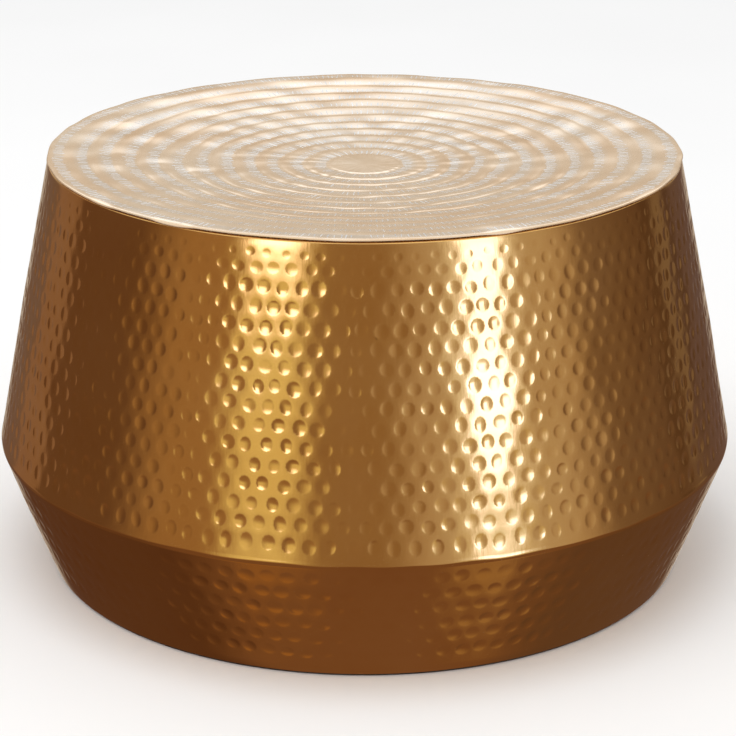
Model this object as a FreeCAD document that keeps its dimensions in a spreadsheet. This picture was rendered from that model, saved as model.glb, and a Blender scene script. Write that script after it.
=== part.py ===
import FreeCAD, Part
import math
import os

import Sketcher
from FreeCAD import Placement, Rotation, Vector

# Drum coffee table of hammered sheet metal. The origin is on the floor under
# the middle of the table, with Z up and the walls turned about Z.

# Driving dimensions: lengths in millimetres, the seam's bearing in degrees, and counts.
DIMENSIONS = {
    "table_height": 340,
    "belly_diameter": 600,
    "belly_height": 105,
    "belly_bend": 30,
    "top_diameter": 506,
    "base_diameter": 524,
    "wall_thickness": 1.5,
    "bend_inside": 1,
    "rim_overhang": 1.5,
    "rim_margin": 18,
    "rim_round": 0.4,
    "top_thickness": 1.5,
    "dish_depth": 14,
    "medallion_diameter": 52,
    "ring_count": 11,
    "ring_hollow": 38,
    "flange_setback": 0.5,
    "base_flange": 16,
    "strip_thickness": 1.5,
    "strip_inset": 2,
    "belly_bead_width": 8,
    "belly_bead_round": 5,
    "seam_bead_width": 6,
    "seam_bead_height": 1.2,
    "seam_bead_round": 0.8,
    "seam_bead_gap": 0.3,
    "seam_end_gap": 1,
    "seam_bearing": 112.5,
    "stud_count": 8,
    "stud_diameter": 5,
    "stud_edge": 7.5,
    "stud_tail": 3,
    "stud_clearance": 0.25,
    "thread_clearance": 0.1,
    "washer_diameter": 10,
    "washer_thickness": 1,
    "nut_width": 8,
    "nut_height": 4,
}
SHEET = "Dims"
FULL_TURN = 360
SAME_PLACE = 0.01


class Size:
    """A number together with the sheet formula that gives it."""

    def __init__(self, value, text):
        self.value = value
        self.text = text

    def __add__(self, other):
        other = as_size(other)
        return Size(self.value + other.value, f"({self.text} + {other.text})")

    def __sub__(self, other):
        other = as_size(other)
        return Size(self.value - other.value, f"({self.text} - {other.text})")

    def __mul__(self, other):
        other = as_size(other)
        return Size(self.value * other.value, f"{self.text} * {other.text}")

    def __truediv__(self, other):
        other = as_size(other)
        return Size(self.value / other.value, f"{self.text} / ({other.text})")

    def __neg__(self):
        return Size(-self.value, f"(-1 * {self.text})")


def as_size(number):
    """Give a plain number as a Size, and a Size as it is."""
    return number if isinstance(number, Size) else Size(number, f"{number}")


def make_sheet():
    """Fill the spreadsheet, one named cell for each driving dimension."""
    sheet = doc.addObject("Spreadsheet::Sheet", SHEET)
    for row, (name, number) in enumerate(DIMENSIONS.items(), start=1):
        sheet.set(f"A{row}", name)
        sheet.set(f"B{row}", str(number))
        sheet.setAlias(f"B{row}", name)
    doc.recompute()
    return {name: Size(float(sheet.get(name)), f"{SHEET}.{name}") for name in DIMENSIONS}


doc = FreeCAD.newDocument("DrumTable")
dims = make_sheet()

# Radii and levels that neighbouring pieces share.
belly_radius = dims["belly_diameter"] / 2
base_radius = dims["base_diameter"] / 2
rim_radius = dims["top_diameter"] / 2
stud_radius = dims["stud_diameter"] / 2
medallion_radius = dims["medallion_diameter"] / 2
wall_top_radius = rim_radius - dims["rim_overhang"]
dish_edge_radius = rim_radius - dims["rim_margin"]
flange_inner_radius = dish_edge_radius + dims["flange_setback"]
base_flange_inner_radius = base_radius - dims["base_flange"]
bend_centre_radius = belly_radius - dims["belly_bend"]
stud_circle_radius = flange_inner_radius + dims["stud_edge"]
belly_bend_inside = dims["belly_bend"] - dims["wall_thickness"]
bend_outside = dims["bend_inside"] + dims["wall_thickness"]
flange_level = dims["table_height"] - dims["top_thickness"]
flange_underside = flange_level - dims["wall_thickness"]
base_level = dims["strip_thickness"]
base_inner_level = base_level + dims["wall_thickness"]


# Sketching

def make_body(label):
    """Start a sub-part of its own."""
    body = doc.addObject("PartDesign::Body", label)
    body.Label = label
    return body


def make_sketch(body, name, role, level=None):
    """Start a sketch on one of the body's own planes, or at a level above it."""
    sketch = body.newObject("Sketcher::SketchObject", name)
    planes = [plane for plane in body.Origin.OriginFeatures if plane.Role == role]
    sketch.AttachmentSupport = (planes[0], [""])
    sketch.MapMode = "FlatFace"
    if level is not None:
        sketch.setExpression("AttachmentOffset.Base.z", level.text)
    return sketch


def bind(sketch, size, kind, *where):
    """Add a constraint whose value follows the sheet."""
    index = sketch.addConstraint(Sketcher.Constraint(kind, *where, size.value))
    sketch.setExpression(f"Constraints[{index}]", size.text)


def pin(sketch, edge, vertex, across=None, up=None):
    """Hold a point at a distance across and up from the sketch's origin, with 0 on its axis."""
    for size, kind, axis in ((across, "DistanceX", -2), (up, "DistanceY", -1)):
        if size is None:
            continue
        if as_size(size).value == 0:
            sketch.addConstraint(Sketcher.Constraint("PointOnObject", edge, vertex, axis))
        else:
            bind(sketch, size, kind, -1, 1, edge, vertex)


def join(sketch, edge, vertex, other, other_vertex):
    """Make two edges meet at a point."""
    sketch.addConstraint(Sketcher.Constraint("Coincident", edge, vertex, other, other_vertex))


def point(across, up):
    """Give two sizes as a vector in the sketch."""
    return Vector(as_size(across).value, as_size(up).value, 0)


def line(sketch, start, end):
    """Draw a straight edge between two vectors."""
    return sketch.addGeometry(Part.LineSegment(start, end), False)


def arc(sketch, centre, radius, start_angle, end_angle):
    """Draw an arc anticlockwise from one angle to another, in radians."""
    circle = Part.Circle(centre, Vector(0, 0, 1), radius)
    return sketch.addGeometry(Part.ArcOfCircle(circle, start_angle, end_angle), False)


def draw_circle(sketch, across, radius):
    """Draw a circle centred on the sketch's level axis, at a distance across."""
    circle = Part.Circle(point(across, 0), Vector(0, 0, 1), radius.value)
    edge = sketch.addGeometry(circle, False)
    bind(sketch, radius, "Radius", edge)
    pin(sketch, edge, 3, across, 0)


def draw_polygon(sketch, corners):
    """Draw a closed outline of straight edges and pin each of its corners."""
    places = [point(*corner) for corner in corners]
    edges = [line(sketch, start, end) for start, end in zip(places, places[1:] + places[:1])]
    for edge, following in zip(edges, edges[1:] + edges[:1]):
        join(sketch, edge, 2, following, 1)
    for edge, corner in zip(edges, corners):
        pin(sketch, edge, 1, *corner)


# Features

def revolve(body, name, sketch, turn=None):
    """Turn a sketch about the table's axis: right round, or by an angle spread about its plane."""
    feature = body.newObject("PartDesign::Revolution", name)
    feature.Profile = sketch
    feature.ReferenceAxis = (sketch, ["V_Axis"])
    feature.Angle = FULL_TURN
    if turn is not None:
        feature.Midplane = True
        feature.setExpression("Angle", turn.text)
    doc.recompute()
    return feature


def pad_down(body, name, sketch, length):
    """Thicken a level sketch downward."""
    feature = body.newObject("PartDesign::Pad", name)
    feature.Profile = sketch
    feature.Reversed = True
    feature.setExpression("Length", length.text)
    doc.recompute()
    return feature


def repeat_round(body, name, feature, sketch, count):
    """Repeat a feature evenly round the table's axis."""
    pattern = body.newObject("PartDesign::PolarPattern", name)
    pattern.Originals = [feature]
    pattern.Axis = (sketch, ["N_Axis"])
    pattern.Angle = FULL_TURN
    pattern.setExpression("Occurrences", count.text)
    body.Tip = pattern
    doc.recompute()


def round_edges(body, name, base, size, chosen):
    """Round the edges of a feature that a test picks out."""
    names = [f"Edge{i}" for i, edge in enumerate(base.Shape.Edges, start=1) if chosen(edge)]
    if not names:
        raise RuntimeError(f"{name} has no edges to round")
    fillet = body.newObject("PartDesign::Fillet", name)
    fillet.Base = (base, names)
    fillet.setExpression("Radius", size.text)
    doc.recompute()
    return fillet


def ring_edge(radius, level):
    """Make a test for the round edge with this radius about the axis and at this level."""
    def chosen(edge):
        if not isinstance(edge.Curve, Part.Circle):
            return False
        same_radius = abs(edge.Curve.Radius - radius) < SAME_PLACE
        return same_radius and abs(edge.Curve.Center.z - level) < SAME_PLACE
    return chosen


# Walls

def wall_lean(end_radius, end_level):
    """Give a wall's lean from upright, in radians: it runs from its end to touch the belly's arc."""
    across = bend_centre_radius.value - end_radius.value
    rise = abs(end_level.value - dims["belly_height"].value)
    return math.atan2(across, rise) + math.asin(dims["belly_bend"].value / math.hypot(across, rise))


def draw_wall(sketch, end_radius, end_level, inner_level, upward):
    """Draw the two faces of a wall, outer then inner, each as an arc and a straight edge.

    The arcs start at the belly seam, share a centre level with it and run into the straight
    edges. The outer straight edge ends at the wall's end, and the inner one at the flange.
    """
    lean = wall_lean(end_radius, end_level) * (1 if upward else -1)
    outward = Vector(math.cos(lean), math.sin(lean), 0)
    centre = point(bend_centre_radius, dims["belly_height"])
    sweep = (0, lean) if upward else (lean, 0)
    seam, bend = (1, 2) if upward else (2, 1)
    faces = []
    for radius, level in ((dims["belly_bend"], end_level), (belly_bend_inside, inner_level)):
        start = centre + outward * radius.value
        drop = start.y - level.value
        end = start + Vector(drop * math.tan(lean), -drop, 0)
        bend_arc = arc(sketch, centre, radius.value, *sweep)
        straight = line(sketch, start, end)
        sketch.addConstraint(Sketcher.Constraint("Tangent", straight, 1, bend_arc, bend))
        bind(sketch, radius, "Radius", bend_arc)
        pin(sketch, bend_arc, 3, bend_centre_radius, dims["belly_height"])
        pin(sketch, bend_arc, seam, up=dims["belly_height"])
        pin(sketch, straight, 2, up=level)
        faces.append((bend_arc, straight))
    outer, inner = faces
    pin(sketch, outer[1], 2, across=end_radius)
    sketch.addConstraint(Sketcher.Constraint("Parallel", outer[1], inner[1]))
    return outer, inner


def make_shell(label, end_radius, end_level, inner_level, flange_radius, upward):
    """Build a wall from the belly seam to its end, where a flange turns in."""
    body = make_body(label)
    sketch = make_sketch(body, f"{label}_profile", "XZ_Plane")
    outer, inner = draw_wall(sketch, end_radius, end_level, inner_level, upward)
    outer_arc, outer_straight = outer
    inner_arc, inner_straight = inner
    seam = 1 if upward else 2
    seam_edge = line(sketch, sketch.getPoint(outer_arc, seam), sketch.getPoint(inner_arc, seam))
    join(sketch, seam_edge, 1, outer_arc, seam)
    join(sketch, seam_edge, 2, inner_arc, seam)
    tip = point(flange_radius, end_level)
    tip_inside = point(flange_radius, inner_level)
    flange_face = line(sketch, point(end_radius, end_level), tip)
    tip_edge = line(sketch, tip, tip_inside)
    inner_face = line(sketch, tip_inside, sketch.getPoint(inner_straight, 2))
    join(sketch, outer_straight, 2, flange_face, 1)
    join(sketch, flange_face, 2, tip_edge, 1)
    join(sketch, tip_edge, 2, inner_face, 1)
    join(sketch, inner_face, 2, inner_straight, 2)
    pin(sketch, tip_edge, 1, flange_radius, end_level)
    pin(sketch, tip_edge, 2, flange_radius, inner_level)
    wall = revolve(body, f"{label}_wall", sketch)
    inner_radius = sketch.getPoint(inner_straight, 2).x
    outside = ring_edge(end_radius.value, end_level.value)
    inside = ring_edge(inner_radius, inner_level.value)
    outer_bend = round_edges(body, f"{label}_outer_bend", wall, bend_outside, outside)
    round_edges(body, f"{label}_inner_bend", outer_bend, dims["bend_inside"], inside)
    return body


def make_upper_shell():
    """Build the upper wall, with stud holes through its top flange."""
    body = make_shell("upper_shell", wall_top_radius, flange_level, flange_underside,
                      flange_inner_radius, True)
    unbored = body.Shape.Volume
    sketch = make_sketch(body, "stud_hole_circle", "XY_Plane", flange_level)
    draw_circle(sketch, stud_circle_radius, stud_radius + dims["stud_clearance"])
    hole = body.newObject("PartDesign::Pocket", "stud_hole")
    hole.Profile = sketch
    hole.Type = "ThroughAll"
    doc.recompute()
    repeat_round(body, "stud_holes", hole, sketch, dims["stud_count"])
    if body.Shape.Volume >= unbored:
        raise RuntimeError("the stud holes miss the flange")
    return body


def make_lower_shell():
    """Build the lower wall, with a base flange for the floor strip."""
    return make_shell("lower_shell", base_radius, base_level, base_inner_level,
                      base_flange_inner_radius, False)


# Top

def draw_dish_face(sketch, drop):
    """Draw one face of the dished top, lowered by a drop: medallion, ring hollows, flat margin.

    The ridges between the hollows lie on a parabola from the medallion up to the margin,
    and each hollow is an arc that hangs between two ridges.
    """
    steps = int(dims["ring_count"].value)
    span = dish_edge_radius * dish_edge_radius - medallion_radius * medallion_radius
    ridges = []
    for step in range(steps + 1):
        across = medallion_radius + (dish_edge_radius - medallion_radius) * step / dims["ring_count"]
        sunk = (dish_edge_radius * dish_edge_radius - across * across) * dims["dish_depth"] / span
        ridges.append((across, dims["table_height"] - sunk - drop))
    middle = (0, ridges[0][1])
    rim = (rim_radius, dims["table_height"] - drop)
    medallion = line(sketch, point(*middle), point(*ridges[0]))
    pin(sketch, medallion, 1, *middle)
    pin(sketch, medallion, 2, *ridges[0])
    last = medallion
    radius = dims["ring_hollow"]
    for start, end in zip(ridges, ridges[1:]):
        low, high = point(*start), point(*end)
        chord = high - low
        reach = math.sqrt(radius.value ** 2 - (chord.Length / 2) ** 2)
        centre = low + chord / 2 + Vector(-chord.y, chord.x, 0).normalize() * reach
        angles = [math.atan2(place.y - centre.y, place.x - centre.x) for place in (low, high)]
        hollow = arc(sketch, centre, radius.value, *angles)
        join(sketch, last, 2, hollow, 1)
        pin(sketch, hollow, 2, *end)
        bind(sketch, radius, "Radius", hollow)
        last = hollow
    margin = line(sketch, point(*ridges[-1]), point(*rim))
    join(sketch, last, 2, margin, 1)
    pin(sketch, margin, 2, *rim)
    return medallion, margin


def make_top_dish():
    """Build the dished top sheet, its two faces the sheet's thickness apart."""
    body = make_body("top_dish")
    sketch = make_sketch(body, "dish_profile", "XZ_Plane")
    upper_medallion, upper_margin = draw_dish_face(sketch, as_size(0))
    under_medallion, under_margin = draw_dish_face(sketch, dims["top_thickness"])
    for upper, under, vertex in ((upper_medallion, under_medallion, 1), (upper_margin, under_margin, 2)):
        edge = line(sketch, sketch.getPoint(upper, vertex), sketch.getPoint(under, vertex))
        join(sketch, edge, 1, upper, vertex)
        join(sketch, edge, 2, under, vertex)
    sheet = revolve(body, "dish_sheet", sketch)
    rim_edges = [ring_edge(rim_radius.value, level.value) for level in (dims["table_height"], flange_level)]
    round_edges(body, "dish_rim", sheet, dims["rim_round"],
                lambda edge: any(on_rim(edge) for on_rim in rim_edges))
    return body


# Welds

def make_belly_weld():
    """Build the bead inside the belly seam: a lens between the walls' inner arc and its own face."""
    body = make_body("belly_weld")
    sketch = make_sketch(body, "belly_bead_section", "XZ_Plane")
    half_width = dims["belly_bead_width"] / 2
    centre = point(bend_centre_radius, dims["belly_height"])
    spread = math.asin(half_width.value / belly_bend_inside.value)
    back = arc(sketch, centre, belly_bend_inside.value, -spread, spread)
    bind(sketch, belly_bend_inside, "Radius", back)
    pin(sketch, back, 3, bend_centre_radius, dims["belly_height"])
    pin(sketch, back, 1, up=dims["belly_height"] - half_width)
    pin(sketch, back, 2, up=dims["belly_height"] + half_width)
    crown = dims["belly_bead_round"]
    opening = math.asin(half_width.value / crown.value)
    toe = centre.x + belly_bend_inside.value * math.cos(spread)
    face_centre = Vector(toe + crown.value * math.cos(opening), centre.y, 0)
    face = arc(sketch, face_centre, crown.value, math.pi - opening, math.pi + opening)
    bind(sketch, crown, "Radius", face)
    join(sketch, face, 1, back, 2)
    join(sketch, face, 2, back, 1)
    revolve(body, "belly_bead", sketch)
    return body


def make_seam_weld(label, end_radius, end_level, inner_level, upward):
    """Build the bead along the seam that closes a wall's cone, a small gap off the inner face."""
    body = make_body(label)
    sketch = make_sketch(body, f"{label}_section", "XZ_Plane")
    faces = draw_wall(sketch, end_radius, end_level, inner_level, upward)
    for edge in faces[0] + faces[1]:
        sketch.toggleConstruction(edge)
    wall = faces[1][1]
    end_gap = dims["bend_inside"] + dims["seam_end_gap"]
    stop = inner_level - end_gap if upward else inner_level + end_gap
    start = sketch.getPoint(wall, 1)
    along = (sketch.getPoint(wall, 2) - start).normalize()
    end = start + along * ((stop.value - start.y) / along.y)
    inward = Vector(-along.y, along.x, 0) * (1 if upward else -1)
    off_wall = inward * dims["seam_bead_gap"].value
    lift = off_wall + inward * dims["seam_bead_height"].value
    corners = [start + off_wall, end + off_wall, end + lift, start + lift]
    edges = [line(sketch, first, second) for first, second in zip(corners, corners[1:] + corners[:1])]
    for edge, following in zip(edges, edges[1:] + edges[:1]):
        join(sketch, edge, 2, following, 1)
    back, end_edge, face, start_edge = edges
    for edge in (back, face):
        sketch.addConstraint(Sketcher.Constraint("Parallel", edge, wall))
    for edge in (end_edge, start_edge):
        sketch.addConstraint(Sketcher.Constraint("Perpendicular", edge, wall))
    sketch.addConstraint(Sketcher.Constraint("PointOnObject", wall, 1, start_edge))
    pin(sketch, back, 2, up=stop)
    bind(sketch, dims["seam_bead_gap"], "Distance", back, 1, wall)
    bind(sketch, dims["seam_bead_height"], "Distance", end_edge)
    turn = dims["seam_bead_width"] / belly_radius * math.degrees(1)
    bead = revolve(body, f"{label}_bead", sketch, turn)
    middle = (sketch.getPoint(face, 1) + sketch.getPoint(face, 2)) / 2

    def along_face(edge):
        place = edge.CenterOfMass
        same_radius = abs(math.hypot(place.x, place.y) - middle.x) < SAME_PLACE
        return same_radius and abs(place.z - middle.y) < SAME_PLACE

    round_edges(body, f"{label}_crown", bead, dims["seam_bead_round"], along_face)
    body.Placement = Placement(Vector(), Rotation(Vector(0, 0, 1), dims["seam_bearing"].value))
    body.setExpression("Placement.Rotation.Angle", dims["seam_bearing"].text)
    return body


# Fixings under the top flange, repeated round it

def make_top_studs():
    """Build the studs that hang from the underside of the top's flat margin."""
    body = make_body("top_studs")
    sketch = make_sketch(body, "stud_circle", "XY_Plane", flange_level)
    draw_circle(sketch, stud_circle_radius, stud_radius)
    grip = dims["wall_thickness"] + dims["washer_thickness"] + dims["nut_height"]
    stud = pad_down(body, "stud", sketch, grip + dims["stud_tail"])
    repeat_round(body, "studs", stud, sketch, dims["stud_count"])
    return body


def make_stud_washers():
    """Build the washers that bear on the underside of the flange."""
    body = make_body("stud_washers")
    sketch = make_sketch(body, "washer_circles", "XY_Plane", flange_underside)
    draw_circle(sketch, stud_circle_radius, dims["washer_diameter"] / 2)
    draw_circle(sketch, stud_circle_radius, stud_radius + dims["stud_clearance"])
    washer = pad_down(body, "washer", sketch, dims["washer_thickness"])
    repeat_round(body, "washers", washer, sketch, dims["stud_count"])
    return body


def make_stud_nuts():
    """Build the hexagon nuts under the washers."""
    body = make_body("stud_nuts")
    sketch = make_sketch(body, "nut_outline", "XY_Plane", flange_underside - dims["washer_thickness"])
    flat = dims["nut_width"] / 2
    corner = dims["nut_width"] / math.sqrt(3)
    left, right = stud_circle_radius - corner, stud_circle_radius + corner
    near, far = stud_circle_radius - corner / 2, stud_circle_radius + corner / 2
    draw_polygon(sketch, [(right, 0), (far, flat), (near, flat), (left, 0), (near, -flat), (far, -flat)])
    draw_circle(sketch, stud_circle_radius, stud_radius + dims["thread_clearance"])
    nut = pad_down(body, "nut", sketch, dims["nut_height"])
    repeat_round(body, "nuts", nut, sketch, dims["stud_count"])
    return body


def make_floor_strip():
    """Build the flat rubber strip under the base flange."""
    body = make_body("floor_strip")
    sketch = make_sketch(body, "strip_section", "XZ_Plane")
    inner = base_flange_inner_radius + dims["strip_inset"]
    outer = base_radius - dims["strip_inset"]
    draw_polygon(sketch, [(inner, 0), (outer, 0), (outer, base_level), (inner, base_level)])
    revolve(body, "strip_ring", sketch)
    return body


# Build every piece, check it and write it out

pieces = [
    make_top_dish(),
    make_upper_shell(),
    make_lower_shell(),
    make_belly_weld(),
    make_seam_weld("upper_seam_weld", wall_top_radius, flange_level, flange_underside, True),
    make_seam_weld("lower_seam_weld", base_radius, base_level, base_inner_level, False),
    make_top_studs(),
    make_stud_washers(),
    make_stud_nuts(),
    make_floor_strip(),
]
doc.recompute()
for item in doc.Objects:
    if "Invalid" in item.State or "Error" in item.State:
        raise RuntimeError(f"{item.Label} did not build")
for piece in pieces:
    if piece.Shape.isNull() or not piece.Shape.isValid():
        raise RuntimeError(f"{piece.Label} has no sound shape")

os.makedirs("parts", exist_ok=True)
for piece in pieces:
    piece.Shape.exportStep(os.path.join("parts", f"{piece.Label}.step"))
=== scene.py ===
import math
from dataclasses import dataclass

import bpy
import numpy as np
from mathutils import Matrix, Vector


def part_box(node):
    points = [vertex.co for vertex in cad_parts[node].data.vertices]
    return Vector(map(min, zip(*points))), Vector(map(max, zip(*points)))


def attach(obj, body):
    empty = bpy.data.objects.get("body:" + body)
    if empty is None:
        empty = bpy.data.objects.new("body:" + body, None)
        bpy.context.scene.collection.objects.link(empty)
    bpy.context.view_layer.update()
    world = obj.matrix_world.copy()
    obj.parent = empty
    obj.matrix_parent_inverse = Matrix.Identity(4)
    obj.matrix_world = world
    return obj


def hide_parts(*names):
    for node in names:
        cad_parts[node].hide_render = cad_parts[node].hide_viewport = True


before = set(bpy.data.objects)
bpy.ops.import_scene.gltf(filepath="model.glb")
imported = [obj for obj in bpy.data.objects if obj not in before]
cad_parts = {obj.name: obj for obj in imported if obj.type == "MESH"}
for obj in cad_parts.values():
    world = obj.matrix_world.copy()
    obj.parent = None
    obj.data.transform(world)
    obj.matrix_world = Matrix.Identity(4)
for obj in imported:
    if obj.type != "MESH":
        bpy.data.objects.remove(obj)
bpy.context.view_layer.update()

# Lengths are in millimetres up to the point where a mesh is made
MM = 0.001
FULL_TURN = 2 * math.pi
rng = np.random.default_rng(11)


def box_mm(node):
    """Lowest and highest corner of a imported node, in millimetres."""
    low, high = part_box(node)
    return np.array(low) / MM, np.array(high) / MM


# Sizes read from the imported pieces, with room at the belly for the low ridge along its crease
CREASE_RIDGE = 0.2
TOP_HIGH = box_mm("top_dish")[1]
UPPER_LOW, UPPER_HIGH = box_mm("upper_shell")
LOWER_LOW = box_mm("lower_shell")[0]
STRIP_HIGH = box_mm("floor_strip")[1]
SEAM_LOW, SEAM_HIGH = box_mm("lower_seam_weld")
RIM_RADIUS, RIM_HEIGHT = TOP_HIGH[0], TOP_HIGH[2]
BELLY_RADIUS, BELLY_HEIGHT = UPPER_HIGH[0] - CREASE_RIDGE, UPPER_LOW[2]

# Sizes of the sheet work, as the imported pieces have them
SHEET = 1.5
STRIP_INSET = 2.0
FLANGE_EDGE = 235.5
BASE_FLANGE = 246.0
MEDALLION_RADIUS = 26.0
RING_PITCH = 19.0
RING_COUNT = 11
DISH_RADIUS = MEDALLION_RADIUS + RING_COUNT * RING_PITCH
DISH_DEPTH = 14.0


def around(radius, height, angle):
    """Points at a radius, a height and an angle round the table, from the front towards +X."""
    radius, height, angle = np.broadcast_arrays(radius, height, angle)
    return np.stack([radius * np.sin(angle), -radius * np.cos(angle), height], axis=-1)


def smooth_step(value, low, high):
    """0 below low, 1 above high, and a smooth S between."""
    share = np.clip((value - low) / (high - low), 0, 1)
    return share * share * (3 - 2 * share)


def add_piece(name, points, faces, materials, nodes, face_material=None):
    """A mesh piece that rides with the table: points in millimetres, faces as vertex numbers."""
    mesh = bpy.data.meshes.new(name)
    mesh.from_pydata(points * MM, [], [face for group in faces for face in group.tolist()])
    for material in materials:
        mesh.materials.append(material)
    if face_material is not None:
        mesh.polygons.foreach_set("material_index", face_material)
    mesh.shade_smooth()
    mesh.update()
    piece = bpy.data.objects.new(name, mesh)
    bpy.context.scene.collection.objects.link(piece)
    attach(piece, "root")
    if nodes:
        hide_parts(*nodes)
    return piece


def keep_shares(piece, name, shares):
    """Stores a share at each vertex of a piece, for its finish to read."""
    attribute = piece.data.attributes.new(name, "FLOAT", "POINT")
    attribute.data.foreach_set("value", shares)


def ring_faces(rings, flip):
    """Quads between each ring of vertex numbers and the next, closed all the way round."""
    rings = np.asarray(rings)
    after = np.roll(rings, -1, axis=1)
    quads = np.stack([rings[:-1], after[:-1], after[1:], rings[1:]], axis=-1).reshape(-1, 4)
    return quads[:, ::-1] if flip else quads


class Sway:
    """Smooth uneven handwork: cosines of whole waves round the table that also change with the radius."""

    LENGTHS = 0.6, 1.8
    PEAK = 1.3
    # A reach so long that the sway hardly changes with the radius
    SAME_AT_ANY_RADIUS = 1e6

    def __init__(self, count, most_turns, reach):
        self.turns = rng.integers(1, most_turns + 1, count)
        self.length = rng.uniform(*self.LENGTHS, count) * reach * rng.choice([-1, 1], count)
        self.phase = rng.uniform(0, FULL_TURN, count)

    def at(self, radius, angle):
        """Value from about -1 to 1."""
        waves = [
            np.cos(turns * angle + FULL_TURN * radius / length + phase)
            for turns, length, phase in zip(self.turns, self.length, self.phase)
        ]
        return sum(waves) / math.sqrt(len(waves)) / self.PEAK


# Rolled walls

CORNER_BEND = 1.8
RIPPLE_COUNT = 9
RIPPLE_TURNS = 6, 37
RIPPLE_LENGTHS = 45, 200
SHEET_WAVE = 0.65
SHEET_BULGE = 0.45
FLARE_PLACE = -1.8
FLARE_SWAY = 0.8
FLARE_WIDTH = 1.4
SHOULDER_REACH = 6.0
SEAM_TURN = math.atan2(SEAM_LOW[0] + SEAM_HIGH[0], -SEAM_LOW[1] - SEAM_HIGH[1]) % FULL_TURN
SWELL_PLACE = 12.0
SWELL_WIDTH = 8.0


class Wall:
    """A rolled wall: an arc round the belly, then a straight cone up or down to its corner.

    A place on it is the distance along its outer face from where the arc ends, negative on the arc,
    and the angle round the table. Its ridge, shoulder and swell say how far the sheet stands out along
    the crease, draws in under the corner and stands out over the seam.
    """

    def __init__(self, side, bend, corner, flange_edge, ridge=0.0, shoulder=0.0, swell=0.0):
        corner_radius, corner_height = corner
        self.bend = bend
        self.arc_centre = BELLY_RADIUS - bend
        drop = self.arc_centre - corner_radius
        rise = abs(corner_height - BELLY_HEIGHT)
        reach = math.hypot(drop, rise)
        self.side = side
        self.lean = math.asin(bend / reach) + math.atan2(drop, rise)
        self.length = math.sqrt(reach**2 - bend**2)
        self.arc = bend * self.lean
        self.bend_start = self.length - CORNER_BEND * math.tan((math.pi / 2 - self.lean) / 2)
        self.flange_edge = flange_edge
        self.ridge = ridge
        self.shoulder = shoulder
        self.swell = swell
        self.ripples = [
            (
                rng.integers(*RIPPLE_TURNS),
                rng.uniform(*RIPPLE_LENGTHS) * rng.choice([-1, 1]),
                rng.uniform(0, FULL_TURN),
            )
            for _ in range(RIPPLE_COUNT)
        ]

    def face(self, along):
        """Radius, height and tilt of the face: the tilt grows along the arc up to the lean."""
        tilt = self.lean + np.minimum(along, 0) / self.bend
        straight = np.maximum(along, 0)
        radius = self.arc_centre + self.bend * np.cos(tilt) - straight * math.sin(self.lean)
        rise = self.bend * np.sin(tilt) + straight * math.cos(self.lean)
        return radius, BELLY_HEIGHT + self.side * rise, tilt

    def section(self, along, depth):
        """Radius and height of the section at a depth under the outer face."""
        radius, height, tilt = self.face(along)
        return radius - depth * np.cos(tilt), height - depth * self.side * np.sin(tilt)

    def normals(self, along, angle, fall_across, fall_along):
        """Unit normals of a face that falls away by these slopes, round the table and along the wall."""
        tilt = self.face(along)[2]
        out = around(np.cos(tilt), self.side * np.sin(tilt), angle)
        across = np.stack([np.cos(angle), np.sin(angle), np.zeros_like(angle)], axis=-1)
        onward = around(-np.sin(tilt), self.side * np.cos(tilt), angle)
        normals = out + fall_across[:, None] * across + fall_along[:, None] * onward
        return normals / np.linalg.norm(normals, axis=1, keepdims=True)


crease_sway = Sway(12, 48, Sway.SAME_AT_ANY_RADIUS)


def crease_flare(wall, along, angle):
    """How far the sheet stands out along its crease: a low round ridge that wanders up and down."""
    place = FLARE_PLACE + FLARE_SWAY * np.clip(crease_sway.at(0, angle), -1, 1)
    return wall.ridge * np.exp(-(((along - place) / FLARE_WIDTH) ** 2))


def corner_shoulder(wall, along):
    """How far the sheet draws in towards its corner: a parabola over the last few millimetres."""
    return wall.shoulder * np.clip(1 + (along - wall.length) / SHOULDER_REACH, 0, None) ** 2


def seam_swell(wall, along, angle):
    """How far the sheet stands out over the end of its seam bead.

    A bell curve round the table, times a curve that rises from nothing at the crease and sinks again.
    """
    aside = BELLY_RADIUS * (angle - SEAM_TURN) / SWELL_WIDTH
    share = np.maximum(along, 0) / SWELL_PLACE
    return wall.swell * share * np.exp(1 - share - aside**2)


def sheet_wave(wall, marks, along, angle):
    """How far the beaten sheet lies inside its true cone.

    Cosine ripples on a slight bulge, which fade out at both ends, less the ridge along the crease and
    the swell over the seam, and with the shoulder that draws in under the top.
    """
    ripples = sum(
        np.cos(turns * angle + FULL_TURN * along / length + phase)
        for turns, length, phase in wall.ripples
    )
    share = np.clip((along - marks.low) / (marks.high - marks.low), 0, 1)
    fade = np.sin(math.pi * share)
    beaten = fade * (SHEET_WAVE * ripples / len(wall.ripples) - SHEET_BULGE)
    raised = crease_flare(wall, along, angle) + seam_swell(wall, along, angle)
    return beaten - raised + corner_shoulder(wall, along)


SLOPE_STEP = 0.5


def sheet_slopes(wall, marks, along, angle):
    """Depth of the beaten sheet, and its slopes round the table and along the wall, by a short step."""
    wave = sheet_wave(wall, marks, along, angle)
    next_angle = angle + SLOPE_STEP / wall.face(along)[0]
    across = (sheet_wave(wall, marks, along, next_angle) - wave) / SLOPE_STEP
    onward = (sheet_wave(wall, marks, along + SLOPE_STEP, angle) - wave) / SLOPE_STEP
    return wave, across, onward


# Hammer marks

SPOKES = 12
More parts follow.
